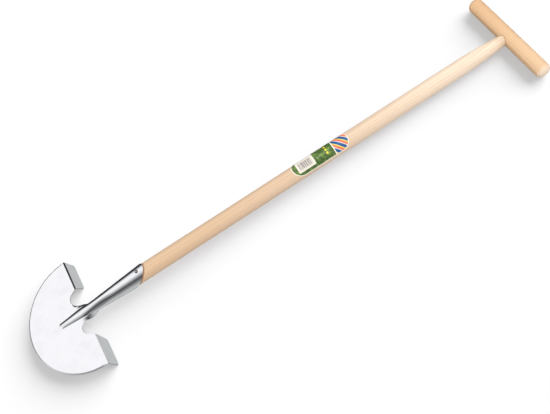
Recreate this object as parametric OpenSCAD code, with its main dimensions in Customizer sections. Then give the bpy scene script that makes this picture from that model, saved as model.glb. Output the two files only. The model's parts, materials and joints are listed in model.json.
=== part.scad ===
// Half moon edger: a pressed steel head on a long ash shaft with a turned cross grip.
// It lies on a flat floor with the ridge side of the blade up: +X runs along the shaft to the grip,
// +Y across the blade, +Z up. It rests on the rear edges of the treads and on the grip.

/* [Blade] */
// Width of the blade at the fold line
blade_w = 230; // [180:1:280]
// Drop of the arc's centre below the fold line
arc_drop = 3; // [0:0.5:15]
// Thickness of the pressed steel sheet
sheet_t = 2; // [1.5:0.1:3]
// Lean of the blade behind the line of the shaft, in degrees
blade_crank = 3.2; // [0:0.1:6]
// Distance of the fold line behind the shaft's axis
fold_back = 1.2; // [0:0.1:4]
// Width of the ground cutting bevel
bevel_w = 2.5; // [2:0.5:10]
// Thickness left at the cutting edge
edge_t = 0.6; // [0.3:0.1:1.2]

/* [Treads] */
// Depth of each tread, from the fold line to its rear edge
tread_d = 32; // [24:1:45]
// Lean of the treads towards the grip, in degrees
tread_lean = 8; // [0:1:20]
// Distance between the two treads at the fold line
tread_gap = 102; // [98:1:120]
// Slant of each tread's inner end
tread_slant = 8.5; // [0:0.5:15]
// Radius of the treads' rear corners
tread_corner = 3; // [1:0.5:6]
// Outside radius of the fold
fold_r = 3.5; // [2.5:0.1:5]

/* [Notches] */
// Radius of the notch beside the neck
notch_r = 14.3; // [10:0.1:15]
// Depth of the notch below the fold line
notch_d = 19; // [15:0.5:26]
// Width of the neck between the notches
neck_w = 35.4; // [32:0.2:40]

/* [Ridge] */
// Length of the ridge on the blade, from the fold line to its tip
ridge_len = 54; // [40:1:80]
// Width of the ridge at the fold line
ridge_w = 18; // [12:0.5:20]
// Height of the ridge at the fold line
ridge_h = 3.4; // [1.5:0.1:4]
// Height of the ridge at its tip, where it drops to the blade
ridge_tip_h = 2.2; // [0.8:0.1:3]
// Width of the wing that turns back beside the ridge at the fold line
wing_w = 10.3; // [8:0.1:13]
// Width of the wing where it joins the socket
wing_top_w = 7.5; // [4:0.1:9]

/* [Socket] */
// Distance from the fold line to the middle of the mouth
socket_len = 115.5; // [100:0.5:140]
// Outside diameter of the mouth
socket_d = 33.8; // [33:0.2:36]
// Distance of the mouth's centre behind the shaft's axis
mouth_back = 1.7; // [0:0.1:3]
// Distance from the fold line to the closed tube
neck_up = 36; // [30:1:44]
// Outside diameter of the tube where it starts
neck_d = 23.4; // [22:0.2:26]
// Distance of the tube's start behind the shaft's axis
neck_back = 5; // [3:0.1:6]
// Height of the slanted rim above and below the middle of the mouth
rim_rise = 17.5; // [0:0.1:20]
// Turn of the rim's high side from the front, in degrees
rim_turn = 15; // [-45:1:45]
// Width of the open seam at the back of the socket
seam_w = 2; // [0.5:0.1:4]
// Width of the seam at the neck, where it opens out
seam_neck_w = 18.5; // [6:0.5:20]
// Length of the stretch where the seam closes up
seam_close_len = 42; // [20:1:60]

/* [Shaft] */
// Diameter of the shaft
shaft_d = 31.6; // [29:0.2:33]
// Distance from the tube's start to the foot of the shaft
shaft_foot = 14; // [4:1:40]
// Length of the taper below the grip
taper_len = 98; // [60:1:200]
// Diameter of the shaft where it enters the grip
tenon_d = 21.5; // [16:0.5:23]
// Power of the taper's curve: 1 is a straight cone
taper_power = 1.8; // [1:0.1:2.5]

/* [Grip] */
// Distance from the fold line to the axis of the grip
grip_up = 932; // [700:1:1100]
// Length of the grip
grip_len = 210; // [150:1:260]
// Diameter of the grip
grip_d = 29; // [26:0.5:34]
// Radius of the rounding at the ends of the grip
grip_end_r = 10.5; // [4:0.5:12]

/* [Wedge] */
// Thickness of the wedge at its head
wedge_t = 3; // [2:0.1:5]
// Thickness of the wedge at its tip
wedge_tip_t = 0.8; // [0.4:0.1:1.8]
// Length of the wedge in the tenon
wedge_len = 20; // [12:1:24]

/* [Nail] */
// Diameter of the nail's head
nail_head_d = 7; // [5:0.5:10]
// Height of the domed head
nail_head_h = 2.4; // [1:0.1:3]
// Diameter of the nail's shank
nail_d = 3; // [2:0.1:4]
// Length of the nail below its head
nail_len = 20; // [10:1:24]
// Distance of the nail below the front of the rim
nail_down = 12.5; // [8:0.5:16]
// Turn of the nail from the front, in degrees
nail_turn = 3; // [-30:1:30]

/* [Label] */
// Length of the label along the shaft
label_len = 120; // [80:1:150]
// Width of the label round the shaft
label_w = 41; // [24:1:44]
// Distance from the fold line to the middle of the label
label_up = 517; // [300:1:650]
// Thickness of the label
label_t = 0.2; // [0.1:0.05:0.4]
// Length of the sticker on the label
sticker_len = 36; // [20:1:50]
// Width of the sticker round the shaft
sticker_w = 25.5; // [12:0.5:28]
// Distance of the sticker from the label's lower end
sticker_in = 10; // [6:1:20]

/* [Fits] */
// Gap between the pieces that fit together
fit_gap = 0.1; // [0.05:0.05:0.3]

/* [Hidden] */
$fn = 96;
overrun = 1.5;
tread_end = blade_w / 2;
blade_r = norm([tread_end, arc_drop]);
shaft_r = shaft_d / 2;
tenon_r = tenon_d / 2;
grip_r = grip_d / 2;
mouth_r = socket_d / 2;
neck_r = neck_d / 2;

// The fold: directions across and down the tread, in the plane that is square to the fold line
fold_angle = 90 - tread_lean;
fold_in = fold_r * tan(fold_angle / 2);
tread_out = [cos(tread_lean), sin(tread_lean)];
tread_down = [sin(tread_lean), -cos(tread_lean)];

// The socket's tube: a cone on an axis that meets the mouth and the start of the tube
tube_len = socket_len - neck_up;
tube_tilt = atan((neck_back - mouth_back) / tube_len);
tube_slope = (mouth_r - neck_r) / tube_len;
tube_reach = tube_len + rim_rise + mouth_r;
rim_angle = atan(rim_rise / mouth_r);
function tube_r(x) = neck_r + tube_slope * (x - neck_up);
function tube_back(x) = neck_back - tan(tube_tilt) * (x - neck_up);

// The nail stands square to the outside of the tube
front_tilt = tube_tilt + atan(tube_slope);
nail_x = socket_len + rim_rise * cos(rim_turn) - nail_down;

// The tool rests on the rear edges of the treads and on the grip
heel = tread_d * tread_down - sheet_t * tread_out;
heel_x = heel[0] * cos(blade_crank) - heel[1] * sin(blade_crank);
heel_z = heel[0] * sin(blade_crank) + heel[1] * cos(blade_crank) - fold_back;
rest_r = norm([heel_x - grip_up, heel_z]);
lay_tilt = -atan2(heel_x - grip_up, heel_z) - acos(-grip_r / rest_r);
tip_lean = blade_crank - lay_tilt;
tip_x = -(blade_r + arc_drop) * cos(tip_lean) + (sheet_t - edge_t) * sin(tip_lean)
    - fold_back * sin(lay_tilt);
top_x = grip_up * cos(lay_tilt) + grip_r;
module lay() {
    translate([-(tip_x + top_x) / 2, 0, grip_up * sin(lay_tilt) + grip_r])
        rotate([0, lay_tilt, 0])
            children();
}
module blade_plane() {
    translate([0, 0, -fold_back])
        rotate([0, -blade_crank, 0])
            children();
}
module tube_axis() {
    translate([neck_up, 0, -neck_back])
        rotate([0, 90 - tube_tilt, 0])
            children();
}
module along_shaft() {
    rotate([0, 90, 0])
        children();
}
module above_rim(gap = 0) {
    side = 2 * (tube_reach + shaft_d);
    translate([socket_len + gap, 0, -mouth_back])
        rotate([-rim_turn, 0, 0])
            rotate([0, rim_angle, 0])
                translate([0, -side / 2, -side / 2])
                    cube(side);
}

// Small helpers for outlines and blends
function lerp(a, b, k) = a + (b - a) * k;
function smooth(k) = let (c = min(max(k, 0), 1)) c * c * (3 - 2 * c);
function unit(v) = v / norm(v);
function fillet(a, p, b, r, steps = 6) =
    let (
        u = unit(a - p),
        w = unit(b - p),
        half = acos(u * w) / 2,
        centre = p + unit(u + w) * r / sin(half),
        from = p + u * r / tan(half) - centre,
        to = p + w * r / tan(half) - centre,
        sweep = 180 - 2 * half
    )
    [for (i = [0 : steps])
        centre + (from * sin(sweep * (1 - i / steps)) + to * sin(sweep * i / steps)) / sin(sweep)];

// Blade outline in its own plane: x up the blade from the fold line, y across
notch_mid = [notch_r - notch_d, neck_w / 2 + notch_r];
module notch_2d() {
    arc_steps = 32;
    corner = [0, tread_gap / 2];
    reach = corner - notch_mid;
    start = 270;
    turn = atan2(reach.y, reach.x) + acos(notch_r / norm(reach)) - start;
    polygon(concat(
        [corner, [overrun, corner.y], [overrun, neck_w / 2]],
        [for (i = [0 : arc_steps])
            let (a = start + turn * i / arc_steps)
            notch_mid + notch_r * [cos(a), sin(a)]]
    ));
}
module blade_2d() {
    difference() {
        intersection() {
            translate([-arc_drop, 0])
                circle(r = blade_r, $fn = 2 * $fn);
            translate([-2 * blade_w, -tread_end])
                square([2 * blade_w, 2 * tread_end]);
        }
        notch_2d();
        mirror([0, 1])
            notch_2d();
        translate([-tongue_in, -notch_mid.y])
            square([tongue_in + overrun, 2 * notch_mid.y]);
    }
}
module edge_bevel() {
    translate([-arc_drop, 0, 0])
        rotate_extrude($fn = 2 * $fn)
            polygon([
                [blade_r - bevel_w, 0],
                [blade_r, edge_t - sheet_t],
                [blade_r + overrun, edge_t - sheet_t],
                [blade_r + overrun, overrun],
                [blade_r - bevel_w, overrun]
            ]);
}
module tread() {
    near_in = [0, tread_gap / 2];
    far_in = [tread_d, tread_gap / 2 + tread_slant];
    far_out = [tread_d, tread_end];
    near_out = [0, tread_end];
    rotate([0, fold_angle, 0])
        translate([0, 0, -sheet_t])
            linear_extrude(sheet_t)
                polygon(concat(
                    [near_in],
                    fillet(near_in, far_in, far_out, tread_corner),
                    fillet(far_in, far_out, near_out, tread_corner),
                    [near_out]
                ));
}
module fold_rounding() {
    flange_touch = fold_in * tread_down;
    rotate([90, 0, 0])
        linear_extrude(2 * blade_w, center = true)
            difference() {
                polygon([
                    [-fold_in, -fold_r],
                    [-fold_in, overrun],
                    [overrun, overrun],
                    flange_touch + overrun * tread_out,
                    flange_touch
                ]);
                translate([-fold_in, -fold_r])
                    circle(r = fold_r);
            }
}

// Ridge: a pressed bump with a section like a parabola, hollow behind, that drops to the blade at its tip
ridge_end_share = 0.08;
bump_shares = [1.1, 1, 0.8, 0.65, 0.5, 0.35, 0.22, 0.14];
hollow_shares = [1.1, 1, 0.8, 0.65, 0.5, 0.35, 0.22, 0.12];
skirt_share = 0.5;
bump_floor_share = 0.75;
ridge_steps = 8;
tongue_share = 0.15;
tongue_in = ridge_len * tongue_share;
ridge_q = ridge_h / pow(ridge_w / 2, 2);
function ridge_top(x) =
    let (k = 1 + x / ridge_len)
    k > 0 ? lerp(ridge_tip_h, ridge_h, k) : ridge_tip_h * (1 + k / ridge_end_share);
function ridge_line(x, drop) =
    let (reach = sqrt((ridge_top(x) + skirt_share * sheet_t) / ridge_q))
    [for (i = [-ridge_steps : ridge_steps])
        let (y = reach * i / ridge_steps)
        [x, y, ridge_top(x) - ridge_q * y * y - drop]];
function level(line, z) = [for (p = line) [p.x, p.y, z]];
module ridge_bump() {
    lines = [for (k = bump_shares) ridge_line(-ridge_len * k, 0)];
    loft(lines, [for (line = lines) level(line, -bump_floor_share * sheet_t)]);
}
module ridge_hollow() {
    lines = [for (k = hollow_shares) ridge_line(-ridge_len * k, sheet_t)];
    loft(lines, [for (line = lines) level(line, -2 * sheet_t)]);
}

// Neck: sections of the sheet from inside the ridge to inside the wall of the tube.
// Each half section is an arch from the crest outwards and then a wing; a point is [y, z, heading],
// where heading 0 runs straight out across the blade and 90 runs straight back.
arch_steps = 8;
wing_steps = 5;
neck_shares = [-0.4, -0.27, -0.21, -0.1, 0, 0.09, 0.18, 0.28, 0.38, 0.48, 0.58, 0.72, 0.86, 1, 1.2];
neck_x = [for (k = neck_shares) neck_up * k];
bury_share = 0.2;
tuck_share = 0.15;
thin_share = 0.3;
arch_from_share = -0.3;
arch_to_share = 0.55;
wing_from_share = -0.28;
wing_to_share = 0.5;
wing_in_from_share = 0.2;
curl_from_share = 0.45;
flat_share = 0.001;
function blend(x, from_share, to_share) = smooth((x / neck_up - from_share) / (to_share - from_share));
function blade_z(x) = x * tan(blade_crank) - fold_back;
function buried(x) = x > -tongue_in ? 0 : bury_share * sheet_t;
function crest_z(x) =
    let (tuck = tuck_share * sheet_t)
    x > neck_up ? tube_r(x) - tube_back(x) - tuck
    : x > 0 ? lerp(ridge_h - fold_back, neck_r - neck_back - tuck, x / neck_up)
    : blade_z(x) + ridge_top(x) - buried(x);
function arch_w(x) =
    let (tuck = tuck_share * sheet_t)
    x > neck_up ? tube_r(x) - tuck
    : x > 0 ? lerp(ridge_w / 2, neck_r - tuck, x / neck_up)
    : sqrt(ridge_top(x) / ridge_q);
function arch_h(x) =
    let (w = arch_w(x))
    lerp(min(crest_z(x) - blade_z(x), w), w, blend(x, arch_from_share, arch_to_share));
function wing_len(x) =
    x < 0
        ? lerp(neck_w / 2 - arch_w(x) - buried(x), wing_w, smooth(1 + x / tongue_in))
        : lerp(wing_w, wing_top_w, blend(x, wing_in_from_share, arch_to_share));
function sheet_at(x) = sheet_t * (1 - thin_share * blend(x, 1 - thin_share, 1)) - 2 * buried(x);
function half_section(x) =
    let (
        w = arch_w(x),
        turn = 2 * atan(arch_h(x) / w),
        r = w / sin(turn),
        top = crest_z(x),
        foot = [w, top - arch_h(x)],
        heading = 90 * blend(x, wing_from_share, wing_to_share),
        curl = max(blend(x, curl_from_share, 1), flat_share) / r,
        length = wing_len(x)
    )
    concat(
        [for (i = [0 : arch_steps - 1])
            let (a = turn * i / arch_steps)
            [r * sin(a), top - r * (1 - cos(a)), a]],
        [[foot.x, foot.y, (turn + heading) / 2]],
        [for (j = [1 : wing_steps])
            let (bend = curl * length * j / wing_steps * 180 / PI)
            [
                foot.x + (sin(heading + bend) - sin(heading)) / curl,
                foot.y - (cos(heading) - cos(heading + bend)) / curl,
                heading + bend
            ]]
    );
function inset(p, d) = [p[0] - d * sin(p[2]), p[1] - d * cos(p[2])];
function section_line(x, depth) =
    let (half = [for (p = half_section(x)) inset(p, depth)])
    concat(
        [for (i = [len(half) - 1 : -1 : 1]) [x, -half[i][0], half[i][1]]],
        [for (p = half) [x, p[0], p[1]]]
    );
module neck() {
    loft([for (x = neck_x) section_line(x, 0)], [for (x = neck_x) section_line(x, sheet_at(x))]);
}

// A solid between two rows of lines that have the same number of points
module loft(upper, lower) {
    count = len(upper[0]);
    ring = 2 * count;
    last = (len(upper) - 1) * ring;
    points = [for (s = [0 : len(upper) - 1])
        each concat(upper[s], [for (i = [count - 1 : -1 : 0]) lower[s][i]])];
    sides = [for (s = [0 : ring : last - ring], i = [0 : ring - 1])
        let (j = (i + 1) % ring)
        each [[s + i, s + ring + j, s + ring + i], [s + i, s + j, s + ring + j]]];
    caps = [for (i = [0 : count - 2])
        let (j = ring - 1 - i)
        each [
            [i, j - 1, i + 1],
            [i, j, j - 1],
            [last + i, last + i + 1, last + j - 1],
            [last + i, last + j - 1, last + j]
        ]];
    polyhedron(points = points, faces = concat(sides, caps), convexity = 6);
}
module tube() {
    difference() {
        tube_axis()
            cylinder(h = tube_reach, r1 = neck_r, r2 = neck_r + tube_slope * tube_reach);
        tube_axis()
            translate([0, 0, -overrun])
                cylinder(
                    h = tube_reach + 2 * overrun,
                    r1 = neck_r - sheet_t - tube_slope * overrun,
                    r2 = neck_r - sheet_t + tube_slope * (tube_reach + overrun)
                );
        above_rim();
    }
}
module seam() {
    seam_end = socket_len + rim_rise + overrun;
    translate([0, 0, -neck_back - 2 * mouth_r])
        linear_extrude(2 * mouth_r)
            polygon([
                [neck_up / 2, -seam_neck_w / 2],
                [neck_up, -seam_neck_w / 2],
                [neck_up + seam_close_len, -seam_w / 2],
                [seam_end, -seam_w / 2],
                [seam_end, seam_w / 2],
                [neck_up + seam_close_len, seam_w / 2],
                [neck_up, seam_neck_w / 2],
                [neck_up / 2, seam_neck_w / 2]
            ]);
}
module on_nail() {
    translate([nail_x, 0, -tube_back(nail_x)])
        rotate([-nail_turn, 0, 0])
            translate([0, 0, tube_r(nail_x)])
                rotate([0, -front_tilt, 0])
                    children();
}
module nail_hole(depth) {
    on_nail()
        translate([0, 0, -depth])
            cylinder(h = depth + nail_head_h, r = nail_d / 2 + fit_gap);
}

module head() {
    color("#d3d8de")
        lay()
            difference() {
                union() {
                    blade_plane() {
                        difference() {
                            union() {
                                translate([0, 0, -sheet_t])
                                    linear_extrude(sheet_t)
                                        blade_2d();
                                tread();
                                mirror([0, 1, 0])
                                    tread();
                                ridge_bump();
                            }
                            edge_bevel();
                            fold_rounding();
                            ridge_hollow();
                        }
                    }
                    neck();
                    tube();
                }
                seam();
                nail_hole(mouth_r);
            }
}

module shaft() {
    rise = rim_rise + shaft_d;
    taper_top = grip_up - grip_r;
    taper_steps = 14;
    body_start = socket_len - rise;
    foot_r = neck_r - sheet_t - fit_gap + tube_slope * shaft_foot;
    foot_reach = tube_reach - shaft_foot;
    color("#e9cba0")
        lay()
            difference() {
                union() {
                    difference() {
                        along_shaft()
                            rotate_extrude()
                                polygon(concat(
                                    [[0, body_start], [shaft_r, body_start]],
                                    [for (i = [0 : taper_steps])
                                        let (k = i / taper_steps)
                                        [
                                            shaft_r - (shaft_r - tenon_r) * pow(k, taper_power),
                                            taper_top - taper_len * (1 - k)
                                        ]],
                                    [[tenon_r, grip_up], [0, grip_up]]
                                ));
                        difference() {
                            translate([body_start - overrun, -shaft_d, -shaft_d])
                                cube([2 * rise + overrun, 2 * shaft_d, 2 * shaft_d]);
                            above_rim(fit_gap);
                        }
                    }
                    intersection() {
                        tube_axis()
                            translate([0, 0, shaft_foot])
                                cylinder(h = foot_reach, r1 = foot_r, r2 = foot_r + tube_slope * foot_reach);
                        along_shaft()
                            cylinder(h = grip_up, r = shaft_r - fit_gap);
                    }
                    intersection() {
                        translate([grip_up - overrun, 0, 0])
                            along_shaft()
                                cylinder(h = grip_d, r = tenon_r);
                        grip_round(grip_r - fit_gap);
                    }
                }
                nail_hole(nail_len + fit_gap);
                wedge_block(fit_gap);
            }
}

module grip_round(r) {
    translate([grip_up, 0, 0])
        rotate([90, 0, 0])
            cylinder(h = grip_len, r = r, center = true);
}
module grip() {
    end_steps = 10;
    half = grip_len / 2;
    color("#eebb84")
        lay()
            difference() {
                translate([grip_up, 0, 0])
                    rotate([90, 0, 0])
                        rotate_extrude()
                            polygon(concat(
                                [[0, -half]],
                                [for (i = [0 : end_steps])
                                    let (a = 90 * i / end_steps)
                                    [
                                        grip_r - grip_end_r * (1 - sin(a)),
                                        grip_end_r * (1 - cos(a)) - half
                                    ]],
                                [for (i = [end_steps : -1 : 0])
                                    let (a = 90 * i / end_steps)
                                    [
                                        grip_r - grip_end_r * (1 - sin(a)),
                                        half - grip_end_r * (1 - cos(a))
                                    ]],
                                [[0, half]]
                            ));
                translate([grip_up - grip_d, 0, 0])
                    along_shaft()
                        cylinder(h = 2 * grip_d, r = tenon_r + fit_gap);
            }
}

// The wedge's outline is thickest at the top of the grip
module wedge_block(gap) {
    top = grip_up + grip_r + gap;
    tip = top - wedge_len - 2 * gap;
    translate([0, 0, -tenon_d])
        linear_extrude(2 * tenon_d)
            polygon([
                [tip, -wedge_tip_t / 2 - gap],
                [top, -wedge_t / 2 - gap],
                [top, wedge_t / 2 + gap],
                [tip, wedge_tip_t / 2 + gap]
            ]);
}
module tenon_wedge() {
    color("#c99c66")
        lay()
            intersection() {
                wedge_block(0);
                translate([grip_up - grip_d, 0, 0])
                    along_shaft()
                        cylinder(h = 2 * grip_d, r = tenon_r);
                grip_round(grip_r - fit_gap);
            }
}

module socket_nail() {
    dome_r = (nail_head_d * nail_head_d / 4 + nail_head_h * nail_head_h) / (2 * nail_head_h);
    color("#b9bfc6")
        lay()
            on_nail() {
                intersection() {
                    translate([0, 0, nail_head_h - dome_r])
                        sphere(r = dome_r);
                    cylinder(h = nail_head_h + overrun, r = nail_head_d);
                }
                translate([0, 0, -nail_len])
                    cylinder(h = nail_len + nail_head_h / 2, r = nail_d / 2);
            }
}

// A thin band round the shaft, cut to an outline that is seen from the front
module wrap(r, t) {
    intersection() {
        along_shaft()
            difference() {
                cylinder(h = grip_up, r = r + t);
                translate([0, 0, -overrun])
                    cylinder(h = grip_up + 2 * overrun, r = r);
            }
        linear_extrude(r + t + overrun)
            children();
    }
}
function front_y(arc, r) = r * sin(arc / r * 180 / PI);
label_end = label_up - label_len / 2;
label_r = shaft_r + fit_gap / 2;
module label() {
    end_steps = 16;
    round_r = label_w / 2;
    half = label_len / 2 - round_r;
    color("#5f8a3c")
        lay()
            wrap(label_r, label_t)
                polygon([for (i = [0 : 2 * end_steps + 1])
                    let (
                        side = i > end_steps ? -1 : 1,
                        a = -90 + 180 * (i > end_steps ? i - end_steps - 1 : i) / end_steps
                    )
                    [
                        label_up + side * (half + round_r * cos(a)),
                        side * front_y(round_r * sin(a), label_r)
                    ]]);
}
module price_sticker() {
    r = label_r + label_t + fit_gap / 2;
    edge = front_y(sticker_w / 2, r);
    color("#efe9d6")
        lay()
            wrap(r, label_t)
                translate([label_end + sticker_in, -edge])
                    square([sticker_len, 2 * edge]);
}

head();
shaft();
grip();
tenon_wedge();
socket_nail();
label();
price_sticker();
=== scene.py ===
"""Looks of a half moon edger, built round its packed frame: pressed head, ash shaft, turned grip."""

import json
import math
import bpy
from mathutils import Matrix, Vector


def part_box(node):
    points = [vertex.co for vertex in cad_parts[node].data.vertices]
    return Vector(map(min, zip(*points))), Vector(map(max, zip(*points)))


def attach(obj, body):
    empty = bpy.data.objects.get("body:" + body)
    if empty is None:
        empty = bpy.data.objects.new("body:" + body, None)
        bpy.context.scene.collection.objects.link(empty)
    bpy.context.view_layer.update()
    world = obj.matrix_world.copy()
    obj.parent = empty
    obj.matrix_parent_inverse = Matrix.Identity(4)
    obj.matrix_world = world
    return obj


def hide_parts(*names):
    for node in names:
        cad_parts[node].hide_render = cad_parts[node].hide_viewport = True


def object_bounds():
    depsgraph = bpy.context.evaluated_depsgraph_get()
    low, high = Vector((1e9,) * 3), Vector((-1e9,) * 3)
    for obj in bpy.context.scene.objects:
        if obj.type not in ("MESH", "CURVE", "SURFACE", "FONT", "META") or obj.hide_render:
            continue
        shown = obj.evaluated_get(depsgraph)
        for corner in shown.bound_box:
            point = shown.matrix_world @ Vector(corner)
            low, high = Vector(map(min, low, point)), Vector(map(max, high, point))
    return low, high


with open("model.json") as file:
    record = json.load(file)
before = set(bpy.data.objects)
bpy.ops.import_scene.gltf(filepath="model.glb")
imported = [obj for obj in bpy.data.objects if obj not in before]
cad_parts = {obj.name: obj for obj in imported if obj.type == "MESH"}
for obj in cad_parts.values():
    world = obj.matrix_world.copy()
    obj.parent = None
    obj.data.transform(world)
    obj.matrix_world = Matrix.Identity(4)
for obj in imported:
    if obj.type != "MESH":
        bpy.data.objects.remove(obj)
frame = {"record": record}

from types import SimpleNamespace

import bmesh
import bpy
import numpy as np
from mathutils import Matrix, Vector

bl_info = {
    "name": "Half Moon Edger",
    "version": (1, 0, 0),
    "blender": (4, 5, 0),
    "location": "View3D > Sidebar > Edger",
    "description": "Builds the looks of a half moon edger round its packed frame",
    "category": "Add Mesh",
}

CAD_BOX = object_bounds()
BODY = "root"

# Points that lie nearer to each other than this are one point
WELD = 1e-6


def mount(name):
    """A mount of the packed record, by its name."""
    return next(m for m in frame["record"]["mounts"] if m["name"] == name)


# The tool's own directions, and the places of its grip and head
ALONG = Vector(mount("shaft_clip")["axis"]).normalized()
ACROSS = Vector((0, 1, 0))
FRONT = ALONG.cross(ACROSS)
GRIP_LOW, GRIP_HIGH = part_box("grip")
GRIP_MID = (GRIP_LOW + GRIP_HIGH) / 2
GRIP_SIZE = GRIP_HIGH - GRIP_LOW
HEAD_LOW, HEAD_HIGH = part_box("head")


# Properties: the description is the name, with what more there is to say

def number(name, default, more="", **settings):
    text = f"{name} {more}".strip()
    return bpy.props.FloatProperty(name=name, description=text, default=default, precision=4, **settings)


def length(name, default, more=""):
    return number(name, default, more, unit="LENGTH")


def angle(name, degrees, more=""):
    return number(name, math.radians(degrees), more, subtype="ANGLE")


def triple(name, default, more="", subtype="DIRECTION", **settings):
    text = f"{name} {more}".strip()
    return bpy.props.FloatVectorProperty(
        name=name, description=text, default=default, size=3, subtype=subtype, **settings
    )


def colour(name, default, more=""):
    return triple(name, default, more, subtype="COLOR", min=0, max=1)


class EdgerHead(bpy.types.PropertyGroup):
    """Sizes and colours of the pressed head and its nail."""

    blade_w: length("Blade width", HEAD_HIGH.y - HEAD_LOW.y, "at the fold line")
    arc_drop: length("Arc drop", 0.003, "of the arc's centre below the fold line")
    sheet_t: length("Sheet thickness", 0.002)
    blade_crank: angle("Blade lean", 3.2, "behind the line of the shaft")
    fold_back: length("Fold distance", 0.0012, "behind the shaft's axis")
    bevel_w: length("Bevel width", 0.0025, "of the ground cutting edge")
    edge_t: length("Edge thickness", 0.0006, "left at the cutting edge")
    tread_d: length("Tread depth", 0.032, "from the fold line")
    tread_lean: angle("Tread lean", 8, "towards the grip")
    tread_gap: length("Tread gap", 0.102, "between the treads at the fold line")
    tread_slant: length("Tread slant", 0.0085, "of each inner end")
    tread_corner: length("Tread corner radius", 0.003, "at the rear")
    fold_r: length("Fold radius", 0.0035, "on the outside")
    notch_r: length("Notch radius", 0.0143, "beside the neck")
    notch_d: length("Notch depth", 0.019, "below the fold line")
    neck_w: length("Neck width", 0.0354, "between the notches")
    ridge_len: length("Ridge length", 0.0485, "below the fold line")
    ridge_w: length("Ridge width", 0.0212, "at the fold line")
    ridge_h: length("Ridge height", 0.0043, "at the fold line")
    ridge_tip_w: length("Ridge tip width", 0.0126)
    ridge_tip_h: length("Ridge tip height", 0.0024)
    ridge_end: length("Ridge end length", 0.011, "over which the tip drops to the blade")
    foot_fillet: length("Ridge foot length", 0.0009, "of its soft bend")
    wing_bend: length("Wing bend length", 0.0024, "where a wing turns back")
    wing_w: length("Wing width", 0.0085, "beside the ridge at the fold line")
    wing_top_w: length("Wing top width", 0.0108, "where the wing nears the socket")
    socket_len: length("Socket length", 0.1155, "from the fold line to the middle of the mouth")
    socket_d: length("Mouth diameter", 0.0338, "on the outside")
    mouth_back: length("Mouth distance", 0.0017, "of its centre behind the axis")
    neck_up: length("Neck height", 0.036, "from the fold line to the closed tube")
    neck_d: length("Neck diameter", 0.0234, "outside, where the tube starts")
    neck_back: length("Neck distance", 0.005, "of the tube's start behind the axis")
    crest_h: length("Crest height", 0.0011, "that pinching adds to the neck")
    crest_run: length("Crest run", 0.034, "up the tube, until the pinched crest ends")
    rim_rise: length("Rim rise", 0.0175, "above the middle of the mouth")
    rim_turn: angle("Rim turn", 15, "of its high side from the front")
    seam_w: length("Seam width", 0.002, "at the back of the socket")
    seam_neck_w: length("Seam neck width", 0.0185, "where the seam opens out")
    seam_close_len: length("Seam run", 0.042, "over which the seam closes")
    edge_round: length("Edge rounding", 0.0002, "of the sheet's cut edges")
    nail_down: length("Nail distance", 0.0125, "below the front of the rim")
    nail_turn: angle("Nail turn", 3, "from the front")
    nail_head_d: length("Nail head diameter", 0.007)
    nail_head_h: length("Nail head height", 0.0024)
    nail_d: length("Nail shank diameter", 0.003)
    nail_len: length("Nail length", 0.020, "below its head")
    steel: colour("Bright steel", (0.84, 0.84, 0.85), "of the plated sheet")
    steel_dull: colour("Dull steel", (0.26, 0.265, 0.28), "of cut edges and worn spots")


class EdgerWood(bpy.types.PropertyGroup):
    """Sizes and colours of the shaft, the grip and the wedge."""

    shaft_d: length("Shaft diameter", 0.0316)
    shaft_foot: length("Shaft foot", 0.014, "above the start of the tube")
    shoulder_r: length("Shoulder rounding", 0.0004, "of the shaft above the rim")
    taper_len: length("Taper length", 0.098, "below the grip")
    taper_power: number("Taper power", 1.8, "of its curve")
    tenon_d: length("Tenon diameter", 0.0215, "where the shaft enters the grip")
    grip_up: length("Grip distance", 0.932, "from the fold line to the axis of the grip")
    grip_len: length("Grip length", GRIP_SIZE.y)
    grip_d: length("Grip diameter", GRIP_SIZE.z)
    grip_end_r: length("Grip end radius", 0.0105, "of its rounding")
    wedge_t: length("Wedge thickness", 0.003, "at its head")
    wedge_tip_t: length("Wedge tip thickness", 0.0008)
    wedge_len: length("Wedge length", 0.020, "in the tenon")
    fit_gap: length("Fit gap", 0.0001, "between pieces that fit together")
    rim_gap: length("Rim gap", 0.0004, "below the shaft's shoulder")
    # Width of the painted shade along the socket's rim and round the grip's hole
    joint_shade_w: length("Joint shade width", 0.0058, "of the dark line along the rim")
    ash_pale: colour("Pale ash", (0.70, 0.53, 0.385), "of the shaft")
    ash_warm: colour("Warm ash", (0.62, 0.425, 0.265), "of the shaft")
    ash_light: colour("Light ash", (0.86, 0.70, 0.54), "near the grip and on it")
    ash_dark: colour("Dark ash", (0.42, 0.25, 0.14), "of the lines in the shaft")
    grip_pale: colour("Pale grip wood", (0.78, 0.545, 0.335))
    grip_warm: colour("Warm grip wood", (0.66, 0.40, 0.205))
    grip_dark: colour("Dark grip wood", (0.38, 0.20, 0.09), "of the lines in it")
    wedge_pale: colour("Pale wedge wood", (0.52, 0.33, 0.18))
    wedge_warm: colour("Warm wedge wood", (0.44, 0.25, 0.12))
    wedge_dark: colour("Dark wedge wood", (0.26, 0.13, 0.06), "of the lines in it")


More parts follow.
